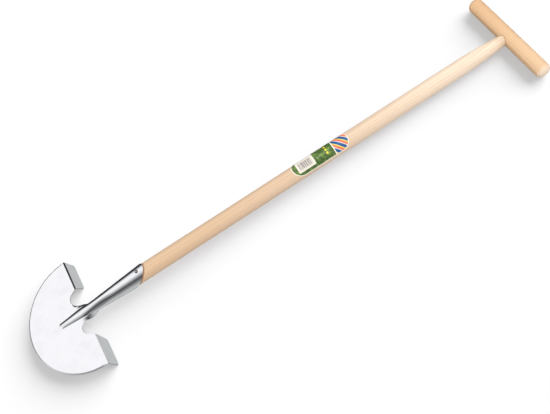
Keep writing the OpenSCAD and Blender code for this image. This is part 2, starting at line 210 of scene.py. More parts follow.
class EdgerLabel(bpy.types.PropertyGroup):
    """Sizes and colours of the label and the sticker."""

    label_len: length("Label length", 0.120, "along the shaft")
    label_w: length("Label width", 0.041, "round the shaft")
    label_up: length("Label distance", 0.517, "from the fold line to its middle")
    film_t: length("Film thickness", 0.0002)
    sticker_len: length("Sticker length", 0.036)
    sticker_w: length("Sticker width", 0.0255, "round the shaft")
    sticker_in: length("Sticker distance", 0.010, "from the label's lower end")
    sticker_corner: length("Sticker corner radius", 0.0015)
    border_w: length("Border width", 0.0013, "of the label")
    stripe_run: length("Stripe run", 0.0054, "of a third of the stripes' repeat")
    stripes_from: length("Stripe distance", 0.027, "from the label's middle")
    disc_r: length("Disc radius", 0.0021)
    disc_step: length("Disc step", 0.0068, "from one disc to the next")
    disc_at: length("Disc distance", 0.013, "from the label's middle")
    leaf: colour("Leaf green", (0.15, 0.25, 0.045), "of the label's ground")
    shade: colour("Shade green", (0.05, 0.10, 0.02), "of the ground's dark marks")
    shoot: colour("Shoot green", (0.33, 0.45, 0.13), "of the ground's light marks")
    cream: colour("Cream", (0.88, 0.84, 0.72), "of the border and of the pale stripe")
    sun: colour("Yellow", (0.83, 0.68, 0.05), "of the discs and of one stripe")
    blue: colour("Blue", (0.015, 0.10, 0.30), "of one stripe")
    coral: colour("Coral", (0.78, 0.17, 0.10), "of one stripe")
    paper: colour("Paper", (0.80, 0.75, 0.64), "of the sticker")
    ink: colour("Ink", (0.17, 0.14, 0.16), "of the sticker's bars")


class EdgerStage(bpy.types.PropertyGroup):
    """Camera, floor and light."""

    eye: triple("Camera place", (-0.0222, -0.6427, 1.1525), subtype="XYZ")
    look: triple("Camera direction", (0.0028, 0.4748, -0.8801))
    up: triple("Camera up", (0.5509, 0.7338, 0.3977), "towards the picture's upper side")
    lens: number("Lens", 46.02, "in millimetres, on a sensor 36 mm wide")
    floor_w: length("Floor width", 14.0)
    floor: colour("Floor colour", (0.16, 0.16, 0.163))
    floor_glow: number("Floor glow", 0.432, "as the strength of its own light")
    side_from: triple("Side light direction", (0.88, 0.16, 0.34), "on the floor")
    side_spread: angle("Side light spread", 74)
    side_power: number("Side light strength", 22.5)
    top_from: triple("Top light direction", (0.0, -0.17, 0.98), "on the tool")
    top_spread: angle("Top light spread", 60)
    top_power: number("Top light strength", 2.17)
    surround: colour("Surround", (0.70, 0.70, 0.705), "of even light on matt faces")
    dome_white: colour("Dome white", (0.955, 0.955, 0.975), "of the overhead screen in polished faces")
    dome_grey: colour("Dome grey", (0.505, 0.52, 0.518), "of the ground in polished faces")
    dome_dark: colour("Dome dark", (0.045, 0.049, 0.058), "of the room's dark side in polished faces")
    dome_black: colour("Dome black", (0.025, 0.027, 0.03), "of the far wall in polished faces")
    dome_gain: number("Dome gain", 1.18, "of the light in polished faces")


PROPERTY_GROUPS = {
    "edger_head": EdgerHead,
    "edger_wood": EdgerWood,
    "edger_label": EdgerLabel,
    "edger_stage": EdgerStage,
}


# Node trees: sums on a Value add Math nodes, and any other node comes from Tree.node

# Sockets of a Mix node that holds colours. Their names repeat for its other kinds of data
MIX_FACTOR, MIX_FIRST, MIX_SECOND, MIX_RESULT = 0, 6, 7, 2


def operation(kind, turned=False):
    """A method of Value that adds a Math node of that kind. Turned puts the value last."""

    def method(value, *others):
        values = (*others, value) if turned else (value, *others)
        return value.tree.math(kind, *values)

    return method


class Value:
    """A number in a node tree that can be used in sums."""

    def __init__(self, tree, socket):
        self.tree = tree
        self.socket = socket

    __add__ = __radd__ = operation("ADD")
    __sub__ = operation("SUBTRACT")
    __rsub__ = operation("SUBTRACT", turned=True)
    __mul__ = __rmul__ = operation("MULTIPLY")
    __truediv__ = operation("DIVIDE")
    __pow__ = operation("POWER")
    above = operation("GREATER_THAN")
    below = operation("LESS_THAN")
    at_least = operation("MAXIMUM")
    at_most = operation("MINIMUM")
    sin = operation("SINE")
    cos = operation("COSINE")
    sqrt = operation("SQRT")
    abs = operation("ABSOLUTE")
    sign = operation("SIGN")
    fract = operation("FRACT")

    def clamp(self, low=0.0, high=1.0):
        return self.at_least(low).at_most(high)

    def share(self, start, steps):
        """0 up to the start and 1 from that many steps on."""
        return ((self - start) / steps).clamp()

    def ease(self, low, high):
        """0 below low, 1 above high and a soft step between."""
        inputs = {"Value": self, "From Min": low, "From Max": high}
        node = self.tree.node("ShaderNodeMapRange", {"interpolation_type": "SMOOTHSTEP"}, inputs)
        return Value(self.tree, node.outputs["Result"])

    def mix(self, first, second):
        """first where this value is 0 and second where it is 1."""
        return first + (second - first) * self


class Tree:
    """Adds nodes to a node tree and feeds their sockets."""

    def __init__(self, tree):
        self.tree = tree

    def feed(self, socket, value):
        if isinstance(value, Value):
            value = value.socket
        if isinstance(value, bpy.types.NodeSocket):
            self.tree.links.new(value, socket)
        elif socket.type == "RGBA" and len(value) == 3:
            socket.default_value = (*value, 1)
        else:
            socket.default_value = value

    def node(self, kind, settings=None, inputs=None):
        """A node of that kind: its settings first, then the values or links of its sockets."""
        node = self.tree.nodes.new(kind)
        for key, value in (settings or {}).items():
            if key == "stops":
                while len(node.color_ramp.elements) < len(value):
                    node.color_ramp.elements.new(1)
                for stop, (place, tone) in zip(node.color_ramp.elements, value):
                    stop.position = place
                    stop.color = (*tone, 1)
            elif key == "spread":
                node.color_ramp.interpolation = value
            else:
                setattr(node, key, value)
        for key, value in (inputs or {}).items():
            self.feed(node.inputs[key], value)
        return node

    def out(self, kind, settings=None, inputs=None):
        """The first output of such a node."""
        return self.node(kind, settings, inputs).outputs[0]

    def math(self, kind, *values):
        return Value(self, self.out("ShaderNodeMath", {"operation": kind}, dict(enumerate(values))))

    def parts(self, vector):
        """The three numbers of a vector."""
        node = self.node("ShaderNodeSeparateXYZ", None, {0: vector})
        return [Value(self, out) for out in node.outputs]

    def vector(self, x, y, z):
        return self.out("ShaderNodeCombineXYZ", None, {0: x, 1: y, 2: z})

    def blend(self, factor, first, second, mode="MIX"):
        """The first colour where the factor is 0, and the second mixed in where it is 1."""
        inputs = {MIX_FACTOR: factor, MIX_FIRST: first, MIX_SECOND: second}
        node = self.node("ShaderNodeMix", {"data_type": "RGBA", "blend_type": mode}, inputs)
        return node.outputs[MIX_RESULT]


class Paint(Tree):
    """A procedural material with one main shader."""

    def __init__(self, name, **constants):
        self.material = bpy.data.materials.new(name)
        self.material.use_nodes = True
        super().__init__(self.material.node_tree)
        self.shader = self.tree.nodes["Principled BSDF"]
        self.shade(**constants)

    def shade(self, **inputs):
        """Feeds sockets of the main shader and returns the material."""
        for key, value in inputs.items():
            name = key.replace("_", " ").title().replace("Ior", "IOR")
            self.feed(self.shader.inputs[name], value)
        return self.material

    def surface(self, tone, gloss, height, strength, distance):
        """Feeds the main shader its colour, roughness and bumps, and returns the material."""
        inputs = {"Strength": strength, "Distance": distance, "Height": height}
        bumps = self.out("ShaderNodeBump", None, inputs)
        return self.shade(base_color=tone, roughness=gloss, normal=bumps)

    def object_at(self):
        return self.node("ShaderNodeTexCoord").outputs["Object"]

    def attribute(self, name, output):
        return self.node("ShaderNodeAttribute", {"attribute_name": name}).outputs[output]

    def mapped(self, vector, **sockets):
        inputs = {key.title(): value for key, value in sockets.items()}
        return self.out("ShaderNodeMapping", None, {"Vector": vector, **inputs})

    def noise(self, vector, scale=1.0, detail=2.0, roughness=0.5, distortion=0.0, stretch=None):
        """Noise at a place. Stretch gives it a scale of its own in each direction."""
        if stretch:
            vector = self.mapped(vector, scale=stretch)
        inputs = {"Scale": scale, "Detail": detail, "Roughness": roughness, "Distortion": distortion}
        return Value(self, self.out("ShaderNodeTexNoise", None, {"Vector": vector, **inputs}))


# Materials

def plated_steel(head, name="plated_steel", dull=0.0):
    """Bright plated sheet: faint rolling lines, cloudy gloss, grey cut edges and a ground cutting edge."""
    paint = Paint(name, metallic=1.0)
    at = paint.object_at()
    cut = Value(paint, paint.attribute("cut", "Fac"))
    ground = Value(paint, paint.attribute("ground", "Fac"))
    cloud = paint.noise(at, scale=14, detail=3, roughness=0.55)
    rolled = paint.noise(at, stretch=(5, 420, 420))
    specks = paint.noise(at, scale=900, roughness=0.6).ease(0.66, 0.78)
    swirl = paint.noise(at, scale=52, detail=4, roughness=0.6, distortion=0.8)
    smudge = paint.noise(at, stretch=(26, 34, 60), detail=3, roughness=0.6, distortion=0.4)
    wear = (cut * 0.75 + ground * 0.1 + specks * 0.06 + smudge.ease(0.4, 0.75) * 0.08 + dull).clamp()
    tone = paint.blend(wear, head.steel, head.steel_dull)
    mouth = paint.parts(at)[0].ease(HEAD_HIGH.x - head.socket_len, HEAD_HIGH.x)
    gloss = 0.06 + 0.05 * cloud + 0.03 * rolled + 0.26 * cut + 0.30 * ground + 0.08 * specks + 0.12 * mouth
    height = rolled * 0.35 + swirl * 0.5 + cloud * 0.8
    return paint.surface(tone, gloss, height, strength=0.05, distance=0.0006)


def turned_wood(name, wood, kind, lay, pith, ring, sunned, bleached=None, shade_and_dark_marks=None):
    """Sanded wood with a clear finish: rings round a pith line, fibres, short pores and a slow drift.

    Along the piece, sunned gives the share of warm wood and bleached that of the palest. The last argument
    gives the share of the dark tone multiplied in: painted shade where pieces meet, and dark marks.
    """
    pale, warm, dark = (getattr(wood, f"{kind}_{tone}") for tone in ("pale", "warm", "dark"))
    paint = Paint(name, specular_ior_level=0.42, coat_roughness=0.28, coat_weight=0.12)
    grain = paint.mapped(paint.object_at(), rotation=lay)
    x, y, z = paint.parts(grain)
    sway = paint.noise(grain, stretch=(2.2, 16, 16)) - 0.5
    reach = ((y - pith[0]) ** 2 + (z - pith[1]) ** 2).sqrt() + sway * 0.010
    line = (reach / ring).fract()
    rings = line.ease(0.1, 0.82) * (1 - line.ease(0.86, 1.0))
    fibre = paint.noise(grain, stretch=(7, 430, 430), detail=3, roughness=0.62)
    streak = paint.noise(grain, stretch=(1.6, 60, 60))
    pores = paint.noise(grain, stretch=(70, 1500, 1500), detail=1).ease(0.62, 0.74)
    drift = paint.noise(grain, stretch=(3, 12, 12))
    glow = (drift.ease(0.3, 0.75) * 0.34 + streak.ease(0.35, 0.7) * 0.22 + sunned(x)).clamp()
    tone = paint.blend(glow, pale, warm)
    if bleached:
        tone = paint.blend(bleached(x), tone, wood.ash_light)
    lines = (rings * 0.20 + (fibre - 0.45) * 0.34 + pores * 0.26).clamp()
    tone = paint.blend(lines, tone, dark)
    # Painted shade where pieces meet, and dark marks, multiplied in with the dark tone
    if shade_and_dark_marks:
        tone = paint.blend(shade_and_dark_marks(paint), tone, dark, "MULTIPLY")
    gloss = 0.40 + 0.12 * fibre + 0.10 * pores
    height = fibre * 0.7 - pores * 0.8 + rings * 0.3
    return paint.surface(tone, gloss, height, strength=0.16, distance=0.0004)


def printed_film(label):
    """A glossy printed label: a mottled green ground, a pale border, diagonal stripes and a row of discs."""
    paint = Paint("printed_film", specular_ior_level=0.5, coat_roughness=0.1, coat_weight=0.35)
    film = paint.attribute("film", "Vector")
    along, around, _ = paint.parts(film)
    slanted = paint.mapped(film, scale=(520, 150, 1), rotation=(0, 0, 0.5))
    blades = paint.noise(slanted, detail=3, roughness=0.6, distortion=0.5)
    clumps = paint.noise(film, stretch=(90, 110, 1), detail=3, roughness=0.6)
    tone = paint.blend(clumps.ease(0.45, 0.64), label.shade, label.leaf)
    tone = paint.blend(blades.ease(0.55, 0.72) * 0.8, tone, label.shoot)
    for step in (-1, 0, 1):
        reach = ((along - label.disc_at) ** 2 + (around - step * label.disc_step) ** 2).sqrt()
        tone = paint.blend(reach.below(label.disc_r), tone, label.sun)
    turn = ((along + around * 0.8) / (3 * label.stripe_run)).fract()
    bands = [(0, label.blue), (0.44, label.cream), (0.52, label.coral), (0.86, label.sun)]
    stripes = paint.out("ShaderNodeValToRGB", {"spread": "CONSTANT", "stops": bands}, {0: turn})
    tone = paint.blend(along.above(label.stripes_from), tone, stripes)
    band = (along - label.stripes_from).abs().below(label.border_w * 0.7)
    straight = label.label_len / 2 - label.label_w / 2
    past = (along.abs() - straight).clamp(0, 1)
    inside = label.label_w / 2 - (past ** 2 + around ** 2).sqrt()
    tone = paint.blend((band + inside.below(label.border_w)).clamp(), tone, label.cream)
    scuff = paint.noise(film, scale=420, detail=3, roughness=0.65)
    tone = paint.blend(scuff.ease(0.66, 0.84) * 0.25, tone, label.cream)
    gloss = 0.26 + 0.16 * scuff
    return paint.surface(tone, gloss, scuff, strength=0.05, distance=0.0002)


def sticker_paper(label):
    """A small paper sticker with plain bars and two thin lines."""
    paint = Paint("sticker_paper", specular_ior_level=0.3)
    film = paint.attribute("film", "Vector")
    along, around, _ = paint.parts(film)
    reach_x = label.sticker_len * 0.38
    reach_y = label.sticker_w * 0.27
    bar_at = paint.vector(along, 0, 0)
    bars = paint.noise(bar_at, scale=520, detail=1).above(0.47)
    block = along.abs().below(reach_x) * (around + label.sticker_w * 0.04).abs().below(reach_y)
    lines = (around.abs() - label.sticker_w * 0.36).abs().below(label.sticker_w * 0.028)
    dots = paint.noise(bar_at, scale=900, detail=1).above(0.46) * along.abs().below(reach_x * 0.92)
    fibre = paint.noise(film, scale=1400, detail=3, roughness=0.7)
    ink = (bars * block * 0.95 + lines * dots * 0.6).clamp()
    tone = paint.blend(fibre.ease(0.3, 0.8) * 0.16, label.paper, label.ink)
    tone = paint.blend(ink * (0.72 + 0.28 * fibre), tone, label.ink)
    gloss = 0.55 + 0.2 * fibre
    return paint.surface(tone, gloss, fibre, strength=0.1, distance=0.0001)


# Meshes and pieces

def tool_matrix():
    """From the tool's own frame, with the fold line on the shaft's axis at its origin, to the row frame."""
    origin = GRIP_MID - ALONG * bpy.context.scene.edger_wood.grip_up
    turn = Matrix((ALONG, ACROSS, FRONT)).transposed().to_4x4()
    return Matrix.Translation(origin) @ turn


def from_bmesh(name, bm):
    """The mesh that a bmesh holds. The bmesh goes."""
    mesh = bpy.data.meshes.new(name)
    bm.to_mesh(mesh)
    bm.free()
    return mesh


def finished(obj):
    """The evaluated mesh of an object as a plain mesh. The object goes."""
    bpy.context.view_layer.update()
    graph = bpy.context.evaluated_depsgraph_get()
    made = obj.evaluated_get(graph)
    mesh = bpy.data.meshes.new_from_object(made, preserve_all_data_layers=True, depsgraph=graph)
    bpy.data.objects.remove(obj)
    return mesh


def linked(name, data):
    """A new object in the scene."""
    obj = bpy.data.objects.new(name, data)
    bpy.context.scene.collection.objects.link(obj)
    return obj


def add_piece(name, mesh, material, node, crease=0.6):
    """A finished mesh in the tool's frame becomes the piece that stands for a CAD node."""
    mesh.transform(tool_matrix())
    mesh.materials.clear()
    mesh.materials.append(material)
    mesh.polygons.foreach_set("use_smooth", [True] * len(mesh.polygons))
    mesh.set_sharp_from_angle(angle=crease)
    piece = linked(name, mesh)
    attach(piece, BODY)
    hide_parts(node)


def rounded(mesh, width, segments=2, limit=0.7):
    """The mesh with its sharp edges rounded."""
    obj = linked("rounding", mesh)
    bevel = obj.modifiers.new("Rounding", "BEVEL")
    bevel.width = width
    bevel.segments = segments
    bevel.limit_method = "ANGLE"
    bevel.angle_limit = limit
    bevel.use_clamp_overlap = True
    return finished(obj)


def outward(mesh):
    """Welds a closed mesh and turns its faces outwards."""
    bm = bmesh.new()
    bm.from_mesh(mesh)
    bmesh.ops.remove_doubles(bm, verts=bm.verts, dist=WELD)
    bmesh.ops.dissolve_degenerate(bm, edges=bm.edges, dist=WELD)
    bmesh.ops.recalc_face_normals(bm, faces=bm.faces)
    bm.to_mesh(mesh)
    bm.free()
    return mesh


# The pressed head: one sheet, with each front point paired with the point behind it

def smooth(k):
    k = np.clip(k, 0.0, 1.0)
    return k * k * (3 - 2 * k)


def mixed(a, b, k):
    return a + (b - a) * k


class HeadForm:
    """Works out the sheet's shape in the tool's frame from the head's sizes."""

    # Counts of points across half a section, and of the fine steps that are summed up there
    HALF, FINE = 46, 600
    # Counts of rows along the ridge, the neck, the tube, the fold and a tread
    RIDGE_ROWS, NECK_ROWS, TUBE_ROWS, FOLD_ROWS, TREAD_ROWS = 40, 56, 30, 12, 12
    # Counts of points along a tread, along the cutting arc and round a notch
    TREAD_POINTS, ARC_POINTS, NOTCH_POINTS = 28, 161, 40
    # Headings tried for the foot of an arch: their count, the steepest, and the steps along each arch
    TURNS, STEEPEST, ARCH_STEPS = 181, 1.8, 200
    # Stretches along the tool where a change starts and ends, in heights of the neck over the fold line
    ROLL = (-0.5, 0.72)
    RIDGE_TO_TUBE = (0, 0.6)
    LOBE_WIDENS = (0.05, 0.35)
    LOBE_TO_TUBE = (0.4, 0.8)
    ARCH_DEEPENS = (-0.3, 0.55)
    ARCH_ROUNDS = (-1.3, 0.5)
    WING_CURLS = (0.15, 0.6)
    BEND_FILLS = (-0.2, 0.35)
    # Powers of the curves of the ridge's flank, of the wings' roll and of the spacing of a tread's rows
    FLANK_POWER, ROLL_POWER, ROW_POWER = 0.65, 1.3, 0.8
    # Start of the strip's rows below the fold line, in lengths of the ridge
    STRIP_FROM = 1.32

    def __init__(self, head):
        self.h = head
        self.neck_r = head.neck_d / 2
        self.mouth_r = head.socket_d / 2
        self.tube_len = head.socket_len - head.neck_up
        self.blade_end = head.blade_w / 2
        self.arc_r = math.hypot(self.blade_end, head.arc_drop)
        self.fold_angle = math.pi / 2 - head.tread_lean
        self.fold_in = head.fold_r * math.tan(self.fold_angle / 2)
        self.notch_mid = np.array((head.notch_r - head.notch_d, head.neck_w / 2 + head.notch_r))
        self.roll_from, self.roll_to = (share * head.neck_up for share in self.ROLL)
        self.strip_w = self.notch_y(self.roll_from / math.cos(head.blade_crank))
        self.shares = np.linspace(0, 1, self.HALF)
        self.hem = self.fold_in + head.fold_r / 6
        self.tread_in = np.array((0, head.tread_gap / 2))
        reach = self.tread_in - self.notch_mid
        self.touch = math.atan2(reach[1], reach[0]) + math.acos(head.notch_r / math.hypot(*reach))

    def on_blade(self, x, y, z=0.0):
        """A point of the blade's own plane, in the tool's frame."""
        lean = self.h.blade_crank
        x, y, z = np.broadcast_arrays(x, y, z)
        along = x * math.cos(lean) - z * math.sin(lean)
        height = x * math.sin(lean) + z * math.cos(lean) - self.h.fold_back
        return np.stack((along, y, height), axis=-1)

    def blade_z(self, x):
        return x * math.tan(self.h.blade_crank) - self.h.fold_back

    def notch_y(self, x):
        """Inner side of the notch at a height on the blade."""
        mid_x, mid_y = self.notch_mid
        return mid_y - math.sqrt(self.h.notch_r ** 2 - (x - mid_x) ** 2)

    def neck_blend(self, x, stretch):
        """0 before a stretch of the neck, 1 after it and a soft step between."""
        start, end = stretch
        return float(smooth((x / self.h.neck_up - start) / (end - start)))

    def tube_r(self, x):
        return mixed(self.neck_r, self.mouth_r, (x - self.h.neck_up) / self.tube_len)

    def tube_back(self, x):
        return mixed(self.h.neck_back, self.h.mouth_back, (x - self.h.neck_up) / self.tube_len)

    def seam_half(self, x):
        """Half the seam's width, as an angle round the tube."""
        k = np.clip((x - self.h.neck_up) / self.h.seam_close_len, 0, 1)
        return np.arcsin(mixed(self.h.seam_neck_w, self.h.seam_w, k) / 2 / self.tube_r(x))

    def rim_x(self, turn):
        """Place of the slanted rim on the outside of the tube, by the turn from the front."""
        h = self.h
        share = h.rim_rise / self.mouth_r
        side = np.cos(turn - h.rim_turn)
        flare = (self.mouth_r - self.neck_r) / self.tube_len * side
        tilt = (h.neck_back - h.mouth_back) / self.tube_len * math.cos(h.rim_turn)
        return h.socket_len + h.rim_rise * side / (1 - share * (flare + tilt))

    def on_ridge(self, x, tip, top):
        """A size of the ridge, which runs from its tip to its top at the fold line and on."""
        return mixed(tip, top, max(1 + x / self.h.ridge_len, 0))

    def ridge_top(self, x):
        """Height of the crest over the blade, with a soft drop at the tip."""
        drop = smooth(1 + (x + self.h.ridge_len) / self.h.ridge_end)
        return self.on_ridge(x, self.h.ridge_tip_h, self.h.ridge_h) * drop

    def crest(self, x):
        """Height of the sheet's middle line, from the ridge to the front of the tube."""
        ridge, tube = self.blade_z(x) + self.ridge_top(x), self.tube_r(x) - self.tube_back(x)
        return mixed(ridge, tube, self.neck_blend(x, self.RIDGE_TO_TUBE))

    def arch_w(self, x):
        """Half the width of the ridge or, further up, of the tube."""
        ridge = self.on_ridge(x, self.h.ridge_tip_w, self.h.ridge_w) / 2
        return mixed(ridge, self.tube_r(x), self.neck_blend(x, self.RIDGE_TO_TUBE))

    def pinch(self, x, y):
        """Height that the pinched crest adds to the front of the neck."""
        rise = smooth(x / self.h.neck_up) * (1 - smooth((x - self.h.neck_up) / self.h.crest_run))
        return self.h.crest_h * rise * np.exp(-(2 * y / self.arch_w(self.h.neck_up)) ** 2)

    def wing_len(self, x):
        """Length of the sheet beside the arch, where its edge is free."""
        h = self.h
        if x < 0:
            foot = self.arch_w(x)
            free_from = self.notch_mid[0] * math.cos(h.blade_crank)
            if x < free_from:
                return self.notch_y(max(x, self.roll_from) / math.cos(h.blade_crank)) - foot
            return mixed(h.neck_w / 2 - foot, h.wing_w, smooth(1 - x / free_from))
        lobe = mixed(h.wing_w, h.wing_top_w, self.neck_blend(x, self.LOBE_WIDENS))
        tube = (math.pi / 2 - float(self.seam_half(h.neck_up))) * self.neck_r
        return mixed(lobe, tube, self.neck_blend(x, self.LOBE_TO_TUBE))

    def arch_turn(self, slope, power):
        """Heading at the foot of an arch of that height for its width, and the width for its length."""
        share = (np.arange(self.ARCH_STEPS) + 0.5) / self.ARCH_STEPS
        turns = np.linspace(0, self.STEEPEST, self.TURNS)
        headings = turns[:, None] * share ** power
        run, drop = np.cos(headings).mean(axis=1), np.sin(headings).mean(axis=1)
        turn = np.interp(slope, drop / run, turns)
        return turn, np.interp(turn, turns, run)

    def half_section(self, x):
        """From the crest outwards: headings along the sheet, softened at the ridge's foot, then summed up."""
        w = self.arch_w(x)
        over = min(self.crest(x) - self.blade_z(x), w)
        rise = mixed(over, w, self.neck_blend(x, self.ARCH_DEEPENS))
        power = mixed(self.FLANK_POWER, 1, self.neck_blend(x, self.ARCH_ROUNDS))
        turn, run = self.arch_turn(rise / w, power)
        arch = w / run
        wing = self.wing_len(x) if x > self.roll_from else self.strip_w - w
        down = np.clip((x - self.roll_from) / (self.roll_to - self.roll_from), 0, 1)
        roll = math.pi / 2 * math.sin(math.pi / 2 * down) ** self.ROLL_POWER
        curl = self.neck_blend(x, self.WING_CURLS) * turn / arch
        filled = self.neck_blend(x, self.BEND_FILLS)
        step = (arch + wing) / self.FINE
        soft = max(int(self.h.foot_fillet / step / 2), 1)
        s = step * np.arange(-2 * soft, self.FINE + 2 * soft + 1)
        out = np.abs(s)
        past = np.maximum(out - arch, 0)

        def trace(roll):
            turned = roll * mixed(smooth(past / self.h.wing_bend), 1, filled) + curl * past
            aim = np.sign(s) * np.where(out < arch, turn * (out / arch) ** power, turned)
            kernel = np.hanning(2 * soft + 3)
            aim = np.convolve(aim, kernel / kernel.sum(), mode="same")[2 * soft:2 * soft + self.FINE + 1]
            aim = (aim[1:] + aim[:-1]) / 2
            across = np.concatenate(([0], np.cumsum(np.cos(aim)))) * step
            drop = np.concatenate(([0], np.cumsum(np.sin(aim)))) * step
            at = self.shares * self.FINE
            order = np.arange(self.FINE + 1)
            return np.interp(at, order, across), self.crest(x) - np.interp(at, order, drop)

        y, z = trace(roll)
        if x < 0:
            z -= (trace(0)[1][-1] - self.blade_z(x)) * (1 - smooth(1 - x / self.roll_from))
        if x <= self.roll_from:
            y *= self.strip_w / y[-1]
        return y, z + self.pinch(x, y)

    def strip(self):
        """Rows of points for the middle of the sheet: the ridge, the neck with its wings, and the tube."""
        h = self.h
        xs = np.concatenate((
            np.linspace(-self.STRIP_FROM * h.ridge_len, self.roll_from, self.RIDGE_ROWS),
            np.linspace(self.roll_from, h.neck_up, self.NECK_ROWS)[1:],
        ))
        rows = []
        for x in xs:
            y, z = self.half_section(float(x))
            right = np.stack((np.full_like(y, x), y, z), axis=-1)
            left = right[:0:-1] * (1, -1, 1)
            rows.append(np.concatenate((left, right)))
        side = np.concatenate((-self.shares[:0:-1], self.shares))
        for k in np.linspace(0, 1, self.TUBE_ROWS)[1:]:
            turn = side * math.pi
            x = mixed(h.neck_up, self.rim_x(turn), k)
            turn = side * (math.pi - self.seam_half(x))
            r = self.tube_r(x)
            y = r * np.sin(turn)
            z = r * np.cos(turn) - self.tube_back(x) + self.pinch(x, y) * (np.cos(turn) > 0)
            rows.append(np.stack((x, y, z), axis=-1))
        return np.array(rows)

    def tread_rows(self):
        """One tread: rows from the blade over the fold to the rear edge, with the points behind them."""
        h = self.h
        corner = self.tread_in
        touch_at = self.notch_mid + h.notch_r * np.array((math.cos(self.touch), math.sin(self.touch)))
        slope = (corner[1] - touch_at[1]) / (corner[0] - touch_at[0])
        bevel_y = math.sqrt((self.arc_r - h.bevel_w) ** 2 - (h.arc_drop - self.hem) ** 2)
        bend = np.linspace(0, self.fold_angle, self.FOLD_ROWS)
        spacing = np.linspace(0, 1, self.TREAD_ROWS)[1:] ** self.ROW_POWER
        flat = self.fold_in + (h.tread_d - self.fold_in) * spacing
        fronts, backs, ins, outs = [], [], [], []

        def row(x, z, nx, nz, inner, cut):
            fronts.append((x, z))
            backs.append((x - h.sheet_t * nx, z - h.sheet_t * nz))
            ins.append(inner)
            outs.append(self.blade_end - cut)

        row(-self.hem, 0, 0, 1, corner[1] - self.hem * slope, 0)
        start_in = corner[1] - self.fold_in * slope
        end_in = corner[1] + h.tread_slant * self.fold_in / h.tread_d
        for a in bend:
            sin, cos = math.sin(a), math.cos(a)
            inner = mixed(start_in, end_in, a / self.fold_angle)
            row(h.fold_r * sin - self.fold_in, h.fold_r * (cos - 1), sin, cos, inner, 0)
        down = np.array((math.sin(h.tread_lean), -math.cos(h.tread_lean)))
        for d in flat:
            near = max(d - (h.tread_d - h.tread_corner), 0)
            cut = h.tread_corner - math.sqrt(h.tread_corner ** 2 - near ** 2)
            inner = corner[1] + h.tread_slant * d / h.tread_d + cut
            row(*(d * down), math.cos(h.tread_lean), math.sin(h.tread_lean), inner, cut)
        hem_share = (bevel_y - ins[0]) / (outs[0] - ins[0])
        shares = np.concatenate((np.linspace(0, hem_share, self.TREAD_POINTS), [1]))
        y = np.array(ins)[:, None] + (np.array(outs) - np.array(ins))[:, None] * shares
        front, back = np.array(fronts), np.array(backs)
        return (
            self.on_blade(front[:, :1], y, front[:, 1:]),
            self.on_blade(back[:, :1], y, back[:, 1:]),
            y[0],
        )

    def arc(self, inset):
        """Points of the cutting arc, or of a line inside it, from the +Y tread to the -Y tread."""
        r = self.arc_r - inset
        first = math.acos((self.h.arc_drop - self.hem) / r)
        turn = np.linspace(first, 2 * math.pi - first, self.ARC_POINTS)
        x = r * np.cos(turn) - self.h.arc_drop
        y = np.clip(r * np.sin(turn), -self.blade_end, self.blade_end)
        x[[0, -1]] = -self.hem
        return x, y, turn


def grid_normals(rows):
    """Outward normals of a grid of points."""
    normal = np.cross(np.gradient(rows, axis=0), np.gradient(rows, axis=1))
    return normal / np.linalg.norm(normal, axis=-1, keepdims=True)


class SheetMesh:
    """Collects the front of a sheet and closes it with its back and its cut edges."""

    def __init__(self):
        self.bm = bmesh.new()
        self.behind = self.bm.verts.layers.float_vector.new("behind")
        self.cut = self.bm.faces.layers.float.new("cut")
        self.ground = self.bm.faces.layers.float.new("ground")

    def vertex(self, front, back):
        v = self.bm.verts.new(front)
        v[self.behind] = back
        return v

    def grid(self, front, back, ground=0.0):
        rows = [[self.vertex(p, q) for p, q in zip(*pair)] for pair in zip(front, back)]
        for low, high in zip(rows, rows[1:]):
            for i in range(len(low) - 1):
                face = self.bm.faces.new((low[i], high[i], high[i + 1], low[i + 1]))
                face[self.ground] = ground

    def panel(self, front, back):
        self.bm.faces.new([self.vertex(p, q) for p, q in zip(front, back)])

    def closed(self, name):
        """Welds the patches, adds the back and the cut edges, and returns the mesh."""
        bm = self.bm
        bmesh.ops.remove_doubles(bm, verts=bm.verts, dist=WELD)
        front_faces = list(bm.faces)
        back = {v: self.vertex(v[self.behind], v[self.behind]) for v in list(bm.verts)}
        loops = [loop for f in front_faces for loop in f.loops if len(loop.edge.link_faces) == 1]
        rims = [(loop.vert, loop.link_loop_next.vert) for loop in loops]
        for f in front_faces:
            bm.faces.new([back[v] for v in reversed(f.verts)])
        for a, b in rims:
            face = bm.faces.new((b, a, back[a], back[b]))
            face[self.cut] = 1.0
        bmesh.ops.recalc_face_normals(bm, faces=bm.faces)
        return from_bmesh(name, bm)


